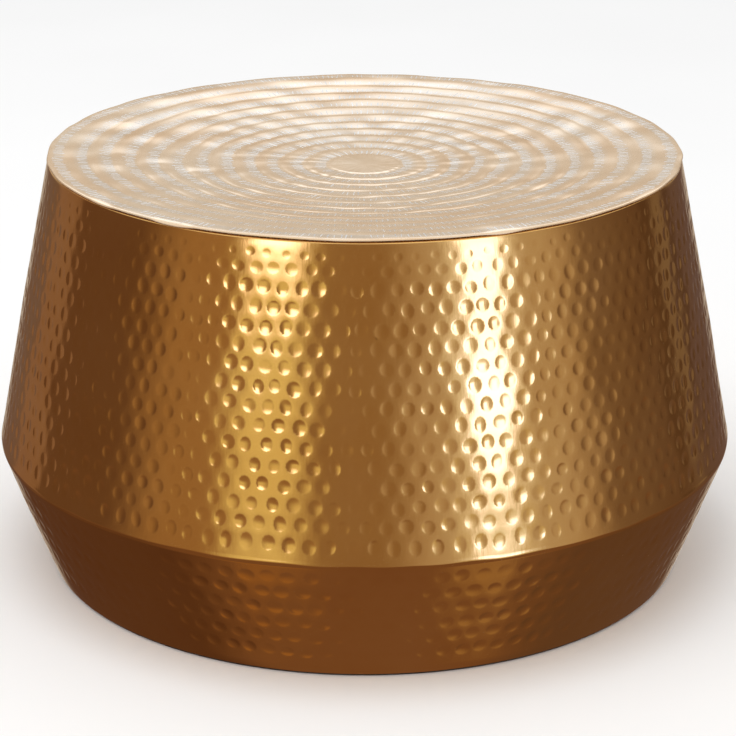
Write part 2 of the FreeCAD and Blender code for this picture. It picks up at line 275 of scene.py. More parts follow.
# Rings of a mark from its middle outwards: share of its radius, depth, slope, wear
MARK_RINGS = (
    (0.5, 0.76, -0.95, 0.4),
    (0.82, 0.33, -1.55, 0.45),
    (1.1, 0.0, -0.22, 0.5),
)
MARK_LIP = MARK_RINGS[-1][0]
MARK_REACH = 0.48
LIP_ROOM = 0.97
ROW_TURN = 0.5
ROW_JITTER = 0.14
TURN_JITTER = 0.08
PLACE_JITTER = 0.9
WIDTH_RANGE = 0.86, 1.1
HEIGHT_RANGE = 0.9, 1.08
DEPTH_RANGE = 0.6, 1.3
MARK_TWIST = 0.2
BLOW_ASIDE = -0.12
BLOW_BELOW = -0.15
BLOW_SPREAD = 0.18
LAND_WEAR = 0.45
MIDDLE_WEAR = 0.4
SHARP_EDGE = math.radians(40)


@dataclass
class Marks:
    """Hammer marks of a wall, in rows, whose lattice runs from low to high along the wall.

    They have the place of each row, the marks in a row, and each row's half sizes and depth.
    """

    rows: np.ndarray
    columns: int
    half_width: np.ndarray
    half_height: np.ndarray
    depth: np.ndarray
    low: float
    high: float


@dataclass
class Blows:
    """The marks as struck: half sizes, depth and twist of each, and how far it is deeper on one side."""

    half_width: np.ndarray
    half_height: np.ndarray
    depth: np.ndarray
    twist: np.ndarray
    aside: np.ndarray
    onwards: np.ndarray

    @property
    def fall_across(self):
        """Depth over half width."""
        return self.depth / self.half_width

    @property
    def fall_along(self):
        """Depth over half height."""
        return self.depth / self.half_height


def following(values, step=0):
    """The next column's values, with the step added where the row closes on itself."""
    rolled = np.roll(values, -1, axis=1)
    rolled[:, -1] += step
    return rolled


def preceding(values, step=0):
    """The column before's values, with the step taken off where the row closes on itself."""
    rolled = np.roll(values, 1, axis=1)
    rolled[:, 0] -= step
    return rolled


def mark_lattice(marks):
    """Places of the marks and of the six-sided cells round them, each as (along, angle).

    Each row is turned by about half a mark against the row before, so three neighbouring marks make a
    triangle, and the middles of the triangles are the corners of the cells. Each side of a cell also has
    a point halfway between its two marks. The first and last rows of corners lie on level lines.
    """
    count = len(marks.rows)
    pitch = FULL_TURN / marks.columns
    turned = np.cumsum(ROW_TURN + rng.uniform(-ROW_JITTER, ROW_JITTER, count))[:, None]
    shape = (count, marks.columns)
    angle = pitch * (np.arange(marks.columns) + turned + rng.uniform(-TURN_JITTER, TURN_JITTER, shape))
    along = marks.rows[:, None] + rng.uniform(-PLACE_JITTER, PLACE_JITTER, shape)
    next_angle, next_along = following(angle, FULL_TURN), following(along)
    first = np.empty((2, count + 1, marks.columns))
    second = np.empty_like(first)
    first[:, 1:-1] = [
        (along[:-1] + next_along[:-1] + along[1:]) / 3,
        (angle[:-1] + next_angle[:-1] + angle[1:]) / 3,
    ]
    second[:, 1:-1] = [
        (next_along[:-1] + along[1:] + next_along[1:]) / 3,
        (next_angle[:-1] + angle[1:] + next_angle[1:]) / 3,
    ]
    between = (angle + next_angle) / 2
    first[0, 0], first[1, 0] = marks.low, angle[0]
    second[0, 0], second[1, 0] = marks.low, between[0]
    first[0, -1], first[1, -1] = marks.high, between[-1]
    second[0, -1], second[1, -1] = marks.high, next_angle[-1]
    before = np.stack([preceding(second[0]), preceding(second[1], FULL_TURN)])
    rising = (first + before) / 2
    falling = (first + second) / 2
    rising[:, 1:-1] = [(along[:-1] + along[1:]) / 2, (angle[:-1] + angle[1:]) / 2]
    falling[:, 1:-1] = [(next_along[:-1] + along[1:]) / 2, (next_angle[:-1] + angle[1:]) / 2]
    upright = np.stack([(along + next_along) / 2, between])
    return np.stack([along, angle]), first, second, rising, falling, upright


def place_numbers(places):
    """Vertex numbers of the lattice's places, counted on from one kind of place to the next."""
    starts = np.cumsum([0] + [place[0].size for place in places])
    return [
        start + np.arange(place[0].size).reshape(place[0].shape)
        for start, place in zip(starts, places)
    ]


def cell_loops(numbers):
    """The twelve vertices round each mark's cell: its corners and the points halfway along its sides."""
    _, first, second, rising, falling, upright = numbers
    loop = [
        first[1:],
        rising[1:],
        preceding(second)[1:],
        preceding(falling)[1:],
        preceding(first)[1:],
        preceding(upright),
        preceding(second)[:-1],
        rising[:-1],
        first[:-1],
        falling[:-1],
        second[:-1],
        upright,
    ]
    return np.stack(loop, axis=-1)


def strike(wall, marks, middle, cell_along, cell_angle):
    """The blows at the middles of the marks: uneven and a little twisted.

    Most are deepest below and left of the middle. A mark is kept narrow enough to clear the marks
    beside it, and shrinks as a whole where its lip would leave its cell.
    """
    shape = middle[0].shape
    radius = wall.face(middle[0])[0]
    half_width = marks.half_width[:, None, None] * rng.uniform(*WIDTH_RANGE, shape)
    gap = following(middle[1], FULL_TURN) - middle[1]
    half_width = np.minimum(half_width, MARK_REACH / MARK_LIP * radius * np.minimum(gap, preceding(gap)))
    half_height = marks.half_height[:, None, None] * rng.uniform(*HEIGHT_RANGE, shape)
    depth = marks.depth[:, None, None] * rng.uniform(*DEPTH_RANGE, shape)
    twist = rng.uniform(-MARK_TWIST, MARK_TWIST, shape)
    turned_by = np.remainder(cell_angle - middle[1] + math.pi, FULL_TURN) - math.pi
    beside, beyond = turned_by * radius, cell_along - middle[0]
    wide = (beside * np.cos(twist) + beyond * np.sin(twist)) / half_width
    high = (beyond * np.cos(twist) - beside * np.sin(twist)) / half_height
    shrink = np.minimum(1, LIP_ROOM * np.hypot(wide, high).min(axis=-1, keepdims=True) / MARK_LIP)
    aside, onwards = rng.normal(0, BLOW_SPREAD, (2,) + shape)
    return Blows(
        half_width=half_width * shrink,
        half_height=half_height * shrink,
        depth=depth,
        twist=twist,
        aside=aside + BLOW_ASIDE,
        onwards=onwards + wall.side * BLOW_BELOW,
    )


def land_points(along, angle, blows):
    """The lattice's own points: level on the land, and sunk and sloped at the middles, which come first.

    Gives place along and angle, depth, slopes round the table and along the wall, and wear.
    """
    middles = blows.depth.size
    sunk = np.zeros((3, along.size))
    sunk[0, :middles] = blows.depth.ravel()
    sunk[1, :middles] = (blows.fall_across * blows.aside).ravel()
    sunk[2, :middles] = (blows.fall_along * blows.onwards).ravel()
    wear = np.full(along.size, LAND_WEAR)
    wear[:middles] = MIDDLE_WEAR
    return along, angle, *sunk, wear


def ring_points(wall, middle, blows, share, deep, slope, worn):
    """One ring of points in every mark, at a share of its radius: a twisted oval, deeper on one side.

    Gives the same values as the land's points.
    """
    spoke = FULL_TURN * (np.arange(SPOKES) + 1) / SPOKES
    cos_twist, sin_twist = np.cos(blows.twist), np.sin(blows.twist)
    wide, high = blows.half_width * np.cos(spoke), blows.half_height * np.sin(spoke)
    step_across = share * (wide * cos_twist - high * sin_twist)
    step_along = share * (high * cos_twist + wide * sin_twist)
    along = middle[0] + step_along
    angle = middle[1] + step_across / wall.face(middle[0])[0]
    uneven = 1 + share * (blows.aside * np.cos(spoke) + blows.onwards * np.sin(spoke))
    sunk = deep * blows.depth * uneven
    steep_across = blows.fall_across * (slope * uneven * np.cos(spoke) + deep * blows.aside)
    steep_along = blows.fall_along * (slope * uneven * np.sin(spoke) + deep * blows.onwards)
    slope_across = steep_across * cos_twist - steep_along * sin_twist
    slope_along = steep_along * cos_twist + steep_across * sin_twist
    wear = np.full(along.shape, worn)
    return [values.ravel() for values in (along, angle, sunk, slope_across, slope_along, wear)]


def mark_faces(centre, cells, rings, flip):
    """Quads from each cell inwards, ring by ring, and a fan of triangles at the middle of each mark."""
    loops = [cells] + rings[::-1]
    quads = []
    for outer, inner in zip(loops[:-1], loops[1:]):
        outer_next, inner_next = np.roll(outer, -1, axis=-1), np.roll(inner, -1, axis=-1)
        quads.append(np.stack([outer, outer_next, inner_next, inner], axis=-1).reshape(-1, 4))
    hub = np.broadcast_to(centre[..., None], loops[-1].shape)
    fans = np.stack([loops[-1], np.roll(loops[-1], -1, axis=-1), hub], axis=-1).reshape(-1, 3)
    faces = [np.concatenate(quads), fans]
    return [group[:, ::-1] for group in faces] if flip else faces


BELLY_RINGS = 10
BEND_RINGS = 5
INNER_RINGS = 11
INNER_ARC_RINGS = 4


def plain_rings(wall):
    """Section of a wall's plain part, from its marks over the flange and down inside to the belly.

    Returns each ring's radius and height, and 1 for each band that lies inside, out of the bands between
    these rings and then between the rings of the belly's arc.
    """
    drawn_in = corner_shoulder(wall, wall.bend_start)
    drawn_tilt = 2 * math.sqrt(wall.shoulder * drawn_in) / SHOULDER_REACH
    bend_radius, bend_height = wall.section(wall.bend_start, CORNER_BEND + drawn_in)
    turn = np.linspace(wall.lean + drawn_tilt, math.pi / 2, BEND_RINGS)
    inner_turn = turn[::-2]
    inner_bend = CORNER_BEND - SHEET
    flange = bend_height + wall.side * np.array([CORNER_BEND, inner_bend])
    cone = np.linspace(wall.bend_start, 0, INNER_RINGS)[1:]
    arc = np.linspace(0, -wall.arc, INNER_ARC_RINGS)[1:]
    down_radius, down_height = wall.section(np.append(cone, arc), SHEET)
    radius = [
        bend_radius + CORNER_BEND * np.cos(turn),
        [wall.flange_edge] * 2,
        bend_radius + inner_bend * np.cos(inner_turn),
        down_radius,
    ]
    height = [
        bend_height + wall.side * (CORNER_BEND * np.sin(turn)),
        flange,
        bend_height + wall.side * (inner_bend * np.sin(inner_turn)),
        down_height,
    ]
    radius, height = np.concatenate(radius), np.concatenate(height)
    inside = np.zeros(len(radius) + BELLY_RINGS + 1, int)
    inside[BEND_RINGS + 1 : len(radius)] = 1
    return radius, height, inside


def close_wall(wall, marks, low_edge, high_edge, angle):
    """Plain rings that close a wall, from the high edge of its marks round to the low edge.

    The angles of the rings change evenly from the one edge's to the other's. Returns the points, the
    rings of vertex numbers with both edges, and 1 for each face that lies inside.
    """
    shift = int(round((angle[high_edge] - angle[low_edge]).mean() / FULL_TURN * low_edge.size))
    low_angle = np.roll(angle[low_edge], -shift)
    low_angle[low_angle.size - shift:] += FULL_TURN
    radius, height, inside = plain_rings(wall)
    belly_along = np.linspace(-wall.arc, marks.low, BELLY_RINGS + 1)[:-1, None]
    share = np.linspace(0, 1, len(radius) + BELLY_RINGS + 2)[1:-1, None]
    ring_angle = (1 - share) * angle[high_edge] + share * low_angle
    over, belly = np.split(ring_angle, [len(radius)])
    belly_section = wall.section(belly_along, -crease_flare(wall, belly_along, belly))
    folded = around(radius[:, None], height[:, None], over)
    points = np.concatenate([folded, around(*belly_section, belly)]).reshape(-1, 3)
    numbers = angle.size + np.arange(len(points)).reshape(ring_angle.shape)
    rings = np.vstack([high_edge, numbers, np.roll(low_edge, -shift)])
    return points, rings, np.repeat(inside, low_edge.size)


def hammered_wall(name, wall, marks, materials, node):
    """A closed sheet wall whose outer face is a lattice of hammer marks.

    Each mark is a small polar grid, a bowl whose sides steepen towards a rounded lip, set in its
    six-sided cell. Plain rings close the sheet: the corner bend, the flange, the inner face and the
    belly's arc.
    """
    places = mark_lattice(marks)
    numbers = place_numbers(places)
    centre, first, second, rising, falling, _ = numbers
    cells = cell_loops(numbers)
    along = np.concatenate([place[0].ravel() for place in places])
    angle = np.concatenate([place[1].ravel() for place in places])
    ring_shape = (len(MARK_RINGS),) + centre.shape + (SPOKES,)
    ring_numbers = along.size + np.arange(math.prod(ring_shape)).reshape(ring_shape)

    middle = places[0][..., None]
    blows = strike(wall, marks, middle, along[cells], angle[cells])
    groups = [land_points(along, angle, blows)]
    groups += [ring_points(wall, middle, blows, *ring) for ring in MARK_RINGS]
    along, angle, sunk, mark_across, mark_along, wear = map(np.concatenate, zip(*groups))
    wave, wave_across, wave_along = sheet_slopes(wall, marks, along, angle)
    points = around(*wall.section(along, sunk + wave), angle)
    normals = wall.normals(along, angle, mark_across + wave_across, mark_along + wave_along)

    flip = wall.side < 0
    faces = mark_faces(centre, cells, list(ring_numbers), flip)
    low_edge, high_edge = (
        np.stack([rising[row], first[row], falling[row], second[row]], axis=-1).ravel() for row in (0, -1)
    )
    plain, rings, is_inside = close_wall(wall, marks, low_edge, high_edge, angle)
    face_material = np.concatenate([np.zeros(len(faces[0]) + len(faces[1]), int), is_inside])
    faces.append(ring_faces(rings, flip))
    points = np.concatenate([points, plain])
    piece = add_piece(name, points, faces, materials, [node], face_material)
    piece.data.set_sharp_from_angle(angle=SHARP_EDGE)
    corners = np.empty(len(piece.data.loops), int)
    piece.data.loops.foreach_get("vertex_index", corners)
    piece.data.normals_split_custom_set(np.concatenate([normals, np.zeros_like(plain)])[corners])
    keep_shares(piece, "edge_wear", np.append(wear, np.full(len(plain), LAND_WEAR)))


# Beaten top

RING_DEPTH = 0.29
OUTER_DEPTH = 0.4
DEPTH_SWING = 0.35
STEP_PLACE = 0.1
RING_LEAN = 0.43
RING_ROWS = np.array([0.0, 0.02, 0.05, 0.09, 0.13, 0.18, 0.25, 0.4, 0.6, 0.82])
MEDALLION_ROWS = np.array([0.15, 0.4, 0.7, 0.9, 0.97, 1.0])
MARGIN_ROWS = 8
EDGE_TURNS = np.radians([15, 30, 45, 60, 75, 90])
RING_SWAY = 1.6
SWAY_START = 0.4 * MEDALLION_RADIUS
SWAY_FULL = MEDALLION_RADIUS + 2 * RING_PITCH
SWAY_EASE = DISH_RADIUS - 1.5 * RING_PITCH
EDGE_ROUND = 1.3
CUT_EDGE = 0.15
EDGE_SWAY = 0.6
EDGE_OUT = 0.4
EDGE_DIP = 1.2
LIP_REACH = 3.7
TOP_WOBBLE = 0.6
MARGIN_DROP = 0.25
TOP_COLUMNS = 512


ring_sway = Sway(7, 7, 130.0)
ring_strength = Sway(8, 9, 70.0)
edge_sway = Sway(11, 30, Sway.SAME_AT_ANY_RADIUS)
edge_dip = Sway(13, 38, Sway.SAME_AT_ANY_RADIUS)
top_wobble = Sway(16, 34, 60.0)


def top_face(pattern, angle, lift):
    """Points of the top, from the radius in the ring pattern and the angle, raised by lift.

    The rings sway from their true radius by hand. The height is a bowl, level at the medallion and at the
    margin, with a wave of rings that each fall in a short step and rise slowly to the next, shallow lumps
    from the beating that grow outwards, and an edge that dips a little here and there.
    """
    in_rings = smooth_step(pattern, SWAY_START, SWAY_FULL)
    in_rings = in_rings * (1 - smooth_step(pattern, SWAY_EASE, DISH_RADIUS))
    at_edge = smooth_step(pattern, DISH_RADIUS, RIM_RADIUS)
    at_lip = smooth_step(pattern, RIM_RADIUS - LIP_REACH, RIM_RADIUS)
    radius = pattern + RING_SWAY * in_rings * ring_sway.at(pattern, angle)
    radius = radius + EDGE_SWAY * at_edge * (EDGE_OUT + np.clip(edge_sway.at(0, angle), -1, 1))
    bowl = np.clip(radius, MEDALLION_RADIUS, DISH_RADIUS)
    bowl_width = DISH_RADIUS**2 - MEDALLION_RADIUS**2
    height = RIM_HEIGHT - MARGIN_DROP - DISH_DEPTH * (DISH_RADIUS**2 - bowl**2) / bowl_width
    share = np.clip((pattern - MEDALLION_RADIUS) / RING_PITCH - STEP_PLACE, 0, RING_COUNT)
    share = share - np.floor(share)
    strength = 1 + DEPTH_SWING * np.clip(ring_strength.at(pattern, angle), -1, 1)
    strength = strength * (1 + (OUTER_DEPTH - 1) * (pattern / DISH_RADIUS) ** 2)
    height = height - RING_DEPTH * strength * (0.5 - 0.5 * np.cos(FULL_TURN * share**RING_LEAN))
    lumps = 1 + np.clip(top_wobble.at(radius, angle), -1, 1)
    height = height - TOP_WOBBLE * (1 - at_edge) * lumps * np.clip(pattern / DISH_RADIUS, 0, 1)
    height = height - EDGE_DIP * at_lip * np.clip(edge_dip.at(0, angle), 0, 1)
    return around(radius, height + lift, angle)


HATCH_BAND = 0.21
HATCH_EDGE = 0.07
HATCH_LEVEL = 0.75
HATCH_SWING = 0.25


def hatching(pattern, angle):
    """How far the chisel has rubbed the lacquer off: an uneven band in the middle of each hollow."""
    share = np.clip((pattern - MEDALLION_RADIUS) / RING_PITCH, 0, RING_COUNT + 1)
    off_middle = np.abs(share - np.floor(share) - 0.5)
    band = 1 - smooth_step(off_middle, HATCH_BAND - HATCH_EDGE, HATCH_BAND + HATCH_EDGE)
    return band * (HATCH_LEVEL + HATCH_SWING * np.clip(ring_strength.at(pattern, angle), -1, 1))


def top_sheet(material):
    """The dished top: ring hollows on its face, a rounded sheet edge and a plain underside."""
    in_pitches = np.arange(RING_COUNT)[:, None] + STEP_PLACE + RING_ROWS
    rings = MEDALLION_RADIUS + RING_PITCH * in_pitches.ravel()
    inner = MEDALLION_ROWS * MEDALLION_RADIUS
    margin = np.linspace(DISH_RADIUS, RIM_RADIUS - EDGE_ROUND, MARGIN_ROWS)[1:]
    face = np.concatenate([inner, rings, margin])
    edge = np.append(RIM_RADIUS - EDGE_ROUND + EDGE_ROUND * np.sin(EDGE_TURNS), RIM_RADIUS - CUT_EDGE)
    edge_lift = np.append(EDGE_ROUND * (np.cos(EDGE_TURNS) - 1), -SHEET)
    # The plain underside takes only some of the face's rows
    below = np.concatenate([margin[-2::-3], rings[::-5], inner[3::-3]])
    pattern = np.concatenate([face, edge, below])
    lift = np.concatenate([np.zeros(len(face)), edge_lift, np.full(len(below), -SHEET)])
    angle = np.linspace(0, FULL_TURN, TOP_COLUMNS, endpoint=False)
    points = top_face(pattern[:, None], angle[None, :], lift[:, None])
    numbers = np.arange(points.shape[0] * TOP_COLUMNS).reshape(-1, TOP_COLUMNS)
    poles = top_face(np.zeros(2), np.zeros(2), np.array([0, -SHEET]))
    poles[:, :2] = 0
    quads = ring_faces(numbers, True)
    upper_pole, lower_pole = numbers.size, numbers.size + 1
    first, last = numbers[0], numbers[-1]
    caps = np.concatenate(
        [
            np.stack([first, np.roll(first, -1), np.full_like(first, upper_pole)], axis=-1),
            np.stack([last, np.roll(last, -1), np.full_like(last, lower_pole)], axis=-1)[:, ::-1],
        ]
    )
    points = np.concatenate([points.reshape(-1, 3), poles])
    piece = add_piece("top_sheet", points, [quads, caps], [material], ["top_dish"])
    rubbed = hatching(pattern[:, None], angle[None, :])
    rubbed[len(face) - 1 :] = 0.0
    keep_shares(piece, "hatch", np.append(rubbed, [0, 0]))


TICK_PITCH = 4.4
TICK_LENGTH = 9.0
TICK_LENGTHS = 0.65, 1.15
TICK_WIDTH = 1.6
TICK_WIDTHS = 0.7, 1.2
TICK_HEIGHT = 0.06
TICK_ROOT = 0.06
TICK_SKIP = 0.1
TICK_OFF_RING = 0.6
TICK_OFF_PLACE = 0.45
TICK_SLANT = 0.09
# A stroke's nine points, a left foot, a ridge point and a right foot three times over: their shares of
# its length and width, and how far they lie off the face of the top
RIDGE_END = 0.42
TICK_OUTWARD = np.array([-0.5, -RIDGE_END, -0.5, 0.0, 0.0, 0.0, 0.5, RIDGE_END, 0.5])
TICK_SIDEWAYS = np.tile([-0.5, 0.0, 0.5], 3)
TICK_LIFT = np.tile([-TICK_ROOT, TICK_HEIGHT, -TICK_ROOT], 3)
TICK_ROOFS = [[0, 3, 4, 1], [3, 6, 7, 4], [1, 4, 5, 2], [4, 7, 8, 5]]
TICK_FLOORS = [[0, 2, 5, 3], [3, 5, 8, 6]]
TICK_SIDES = np.array(TICK_ROOFS + TICK_FLOORS)
TICK_ENDS = np.array([[0, 1, 2], [6, 8, 7]])


def chisel_marks(material):
    """Rows of short radial chisel strokes along the ring hollows, each a low roof with a bent ridge.

    A stroke has three sections along its length, each a left foot, a ridge point and a right foot, which
    all lie on the top's own face, so the stroke follows the hollow.
    """
    middles = MEDALLION_RADIUS + RING_PITCH * (np.arange(RING_COUNT + 1) + 0.5)
    counts = np.round(FULL_TURN * middles / TICK_PITCH).astype(int)
    pattern = np.repeat(middles, counts)
    angle = np.concatenate([FULL_TURN * np.arange(count) / count for count in counts])
    struck = rng.uniform(0, 1, len(pattern)) > TICK_SKIP
    pattern, angle = pattern[struck], angle[struck]
    total = len(pattern)
    pattern = pattern + rng.normal(0, TICK_OFF_RING, total)
    angle = angle + rng.normal(0, TICK_OFF_PLACE, total) / pattern
    length = TICK_LENGTH * rng.uniform(*TICK_LENGTHS, total)
    width = TICK_WIDTH * rng.uniform(*TICK_WIDTHS, total)
    slant = rng.normal(0, TICK_SLANT, total)
    along = length[:, None] * TICK_OUTWARD
    across = width[:, None] * TICK_SIDEWAYS + along * slant[:, None]
    place = pattern[:, None] + along
    points = top_face(place, angle[:, None] + across / place, TICK_LIFT[None, :])
    numbers = np.arange(total)[:, None, None] * len(TICK_OUTWARD)
    faces = [(numbers + TICK_SIDES).reshape(-1, 4), (numbers + TICK_ENDS).reshape(-1, 3)]
    piece = add_piece("chisel_marks", points.reshape(-1, 3), faces, [material], [])
    piece.data.shade_flat()
    keep_shares(piece, "shine", np.repeat(rng.uniform(0, 1, total), len(TICK_OUTWARD)))


# Finishes


def rgb(red, green, blue):
    """A colour with full cover."""
    return (red, green, blue, 1.0)


class Finish:
    """A material with a principled shader, fed by noise over the object's own coordinates."""

    # Colour sockets of a mix node
    MIX_FIRST, MIX_SECOND, MIX_RESULT = 6, 7, 2
    # Noise mostly stays between these
    NOISE_LOW, NOISE_HIGH = 0.3, 0.7

    def __init__(self, name):
        self.material = bpy.data.materials.new(name)
        self.material.use_nodes = True
        self.nodes = self.material.node_tree.nodes
        self.link = self.material.node_tree.links.new
        self.shader = self.nodes["Principled BSDF"]
        self.place = self.add("ShaderNodeTexCoord").outputs["Object"]

    def add(self, kind, **settings):
        """A new node, with its own settings and the values of its sockets."""
        node = self.nodes.new(kind)
        for key, value in settings.items():
            if hasattr(node, key):
                setattr(node, key, value)
            else:
                node.inputs[key.replace("_", " ")].default_value = value
        return node

    def give(self, **values):
        """Sets sockets of the shader: a number stays on its socket, and a node's output is linked."""
        for key, value in values.items():
            socket = self.shader.inputs[key.replace("_", " ")]
            if isinstance(value, bpy.types.NodeSocket):
                self.link(value, socket)
            else:
                socket.default_value = value

    def noise(self, scale, detail, place=None):
        """Noise over the object's coordinates, or over a place made from them."""
        noise = self.add("ShaderNodeTexNoise", Scale=scale, Detail=detail)
        self.link(self.place if place is None else place, noise.inputs["Vector"])
        return noise.outputs["Fac"]

    def clouds(self, scale, detail, *stops):
        """Noise turned into the colours of the stops, each a position and a colour."""
        ramp = self.add("ShaderNodeValToRGB")
        elements = ramp.color_ramp.elements
        elements[0].position, elements[0].color = stops[0]
        elements[1].position, elements[1].color = stops[-1]
        for position, colour in stops[1:-1]:
            elements.new(position).color = colour
        self.link(self.noise(scale, detail), ramp.inputs["Fac"])
        return ramp.outputs["Color"]

    def level(self, scale, detail, low, high):
        """Noise as a number from low to high."""
        remap = self.add(
            "ShaderNodeMapRange",
            From_Min=self.NOISE_LOW,
            From_Max=self.NOISE_HIGH,
            To_Min=low,
            To_Max=high,
        )
        self.link(self.noise(scale, detail), remap.inputs["Value"])
        return remap.outputs["Result"]

    def blend(self, shares, first):
        """Base colour from a first to a second one, by shares kept at the vertices.

        Returns the socket of the second colour.
        """
        mix = self.add("ShaderNodeMix", data_type="RGBA")
        kept = self.add("ShaderNodeAttribute", attribute_name=shares)
        self.link(kept.outputs["Fac"], mix.inputs["Factor"])
        self.link(first, mix.inputs[self.MIX_FIRST])
        self.give(Base_Color=mix.outputs[self.MIX_RESULT])
        return mix.inputs[self.MIX_SECOND]

    def roughen(self, scale, detail, strength, distance, place=None):
        """A fine grain as bump."""
        bump = self.add("ShaderNodeBump", Strength=strength, Distance=distance)
        self.link(self.noise(scale, detail, place), bump.inputs["Height"])
        self.give(Normal=bump.outputs["Normal"])


def wall_gold():
    """Warm gold lacquer on hammered sheet: cloudy in tone, paler where the marks' edges are rubbed."""
    finish = Finish("wall_gold")
    lacquer = finish.clouds(
        14.0,
        4.0,
        (0.3, rgb(0.74, 0.40, 0.105)),
        (0.5, rgb(0.81, 0.47, 0.14)),
        (0.72, rgb(0.86, 0.53, 0.185)),
    )
    finish.blend("edge_wear", lacquer).default_value = rgb(0.90, 0.60, 0.25)
    finish.give(Metallic=1.0, Roughness=finish.level(70.0, 3.0, 0.085, 0.14))
    streaks = finish.add("ShaderNodeMapping", Scale=(1.0, 1.0, 0.04))
    finish.link(finish.place, streaks.inputs["Vector"])
    finish.roughen(420.0, 3.0, 0.1, 0.0003, streaks.outputs["Vector"])
    return finish.material


def inside_bare():
    """Bare sheet on the inside: dull grey, with soft bumps behind the hammer marks."""
    finish = Finish("inside_bare")
    tone = finish.clouds(
        22.0,
        5.0,
        (0.3, rgb(0.44, 0.42, 0.38)),
        (0.55, rgb(0.58, 0.56, 0.52)),
        (0.75, rgb(0.66, 0.63, 0.57)),
    )
    finish.give(Base_Color=tone, Metallic=1.0, Roughness=finish.level(40.0, 3.0, 0.38, 0.55))
    finish.roughen(75.0, 1.0, 0.6, 0.001)
    return finish.material


def top_champagne():
    """Champagne lacquer on the beaten top: tan and clouded, worn to grey metal along chiselled bands."""
    finish = Finish("top_champagne")
    lacquer = finish.clouds(
        11.0,
        4.0,
        (0.3, rgb(0.79, 0.545, 0.325)),
        (0.5, rgb(0.84, 0.63, 0.42)),
        (0.7, rgb(0.88, 0.71, 0.52)),
    )
    rubbed = finish.clouds(170.0, 3.0, (0.35, rgb(0.73, 0.625, 0.51)), (0.65, rgb(0.80, 0.71, 0.60)))
    finish.link(rubbed, finish.blend("hatch", lacquer))
    finish.give(Metallic=0.75, Roughness=finish.level(45.0, 3.0, 0.15, 0.23))
    finish.roughen(420.0, 2.0, 0.15, 0.0002)
    return finish.material


def chisel_silver():
    """Bare metal where the chisel cut through the lacquer: some strokes bright, some dull."""
    finish = Finish("chisel_silver")
    dull = finish.clouds(300.0, 1.0, (0.35, rgb(0.56, 0.54, 0.52)), (0.65, rgb(0.66, 0.65, 0.635)))
    finish.blend("shine", dull).default_value = rgb(0.84, 0.83, 0.81)
    finish.give(Metallic=0.75, Roughness=0.3)
    return finish.material


def weld_metal():
    """Rippled grey filler of the inside welds."""
    finish = Finish("weld_metal")
    tone = finish.clouds(160.0, 4.0, (0.3, rgb(0.30, 0.28, 0.26)), (0.6, rgb(0.62, 0.60, 0.57)))
    finish.give(Base_Color=tone, Metallic=1.0, Roughness=finish.level(120.0, 2.0, 0.3, 0.5))
    finish.roughen(260.0, 2.0, 0.8, 0.001)
    return finish.material


def zinc_steel():
    """Bright zinc plate of the studs, washers and nuts."""
    finish = Finish("zinc_steel")
    tone = finish.clouds(380.0, 3.0, (0.3, rgb(0.50, 0.50, 0.48)), (0.7, rgb(0.68, 0.68, 0.67)))
    finish.give(Base_Color=tone, Metallic=1.0, Roughness=finish.level(300.0, 2.0, 0.25, 0.42))
    return finish.material


def strip_rubber():
    """Matt black rubber with a dusty grain."""
    finish = Finish("strip_rubber")
    tone = finish.clouds(120.0, 4.0, (0.35, rgb(0.012, 0.012, 0.012)), (0.75, rgb(0.035, 0.034, 0.032)))
    finish.give(Base_Color=tone, Roughness=0.75)
    finish.roughen(900.0, 2.0, 0.3, 0.0004)
    return finish.material


# The pieces

SHEET_FINISHES = [wall_gold(), inside_bare()]

# Upper wall: a row of ovals over the crease, plain rows, and two rows of small marks under the top
CREASE_BEND = 20.0
TOP_SHOULDER = 0.35
RIM_STEP = 0.2
RIM_GAP = 1.2
OVAL_ROW = 11.4
PLAIN_START = OVAL_ROW + 15.2
PLAIN_COUNT = 13
PLAIN_BELOW_TOP = 34.3
SMALL_BELOW_TOP = np.array([20.5, 10.5])
upper = Wall(
    side=1,
    bend=CREASE_BEND,
    corner=(RIM_RADIUS - RIM_STEP, UPPER_HIGH[2] - RIM_GAP),
    flange_edge=FLANGE_EDGE,
    ridge=CREASE_RIDGE,
    shoulder=TOP_SHOULDER,
)
plain_rows = np.linspace(PLAIN_START, upper.length - PLAIN_BELOW_TOP, PLAIN_COUNT)
upper_marks = Marks(
    rows=np.concatenate([[OVAL_ROW], plain_rows, upper.length - SMALL_BELOW_TOP]),
    columns=120,
    half_width=np.concatenate([[5.1], np.full(PLAIN_COUNT, 5.3), [4.7, 3.4]]),
    half_height=np.concatenate([[6.5], np.full(PLAIN_COUNT, 5.95), [4.7, 3.4]]),
    depth=np.concatenate([np.linspace(0.43, 0.47, PLAIN_COUNT + 1), [0.3, 0.17]]),
    low=1.0,
    high=upper.length - 4.2,
)
hammered_wall("upper_wall", upper, upper_marks, SHEET_FINISHES, "upper_shell")

# Lower wall: even rows, the first one shallower
UNDER_BEND = 3.0
SEAM_SWELL = 0.6
LOWER_START = 10.2
LOWER_PITCH = 15.4
LOWER_COUNT = 6
lower = Wall(
    side=-1,
    bend=UNDER_BEND,
    corner=(STRIP_HIGH[0] + STRIP_INSET, LOWER_LOW[2]),
    flange_edge=BASE_FLANGE,
    swell=SEAM_SWELL,
)
lower_marks = Marks(
    rows=LOWER_START + LOWER_PITCH * np.arange(LOWER_COUNT),
    columns=116,
    half_width=np.full(LOWER_COUNT, 6.7),
    half_height=np.full(LOWER_COUNT, 5.9),
    depth=np.concatenate([[0.26], np.full(LOWER_COUNT - 1, 0.38)]),
    low=0.3,
    high=lower.length - 8.0,
)
hammered_wall("lower_wall", lower, lower_marks, SHEET_FINISHES, "lower_shell")

top_sheet(top_champagne())
chisel_marks(chisel_silver())

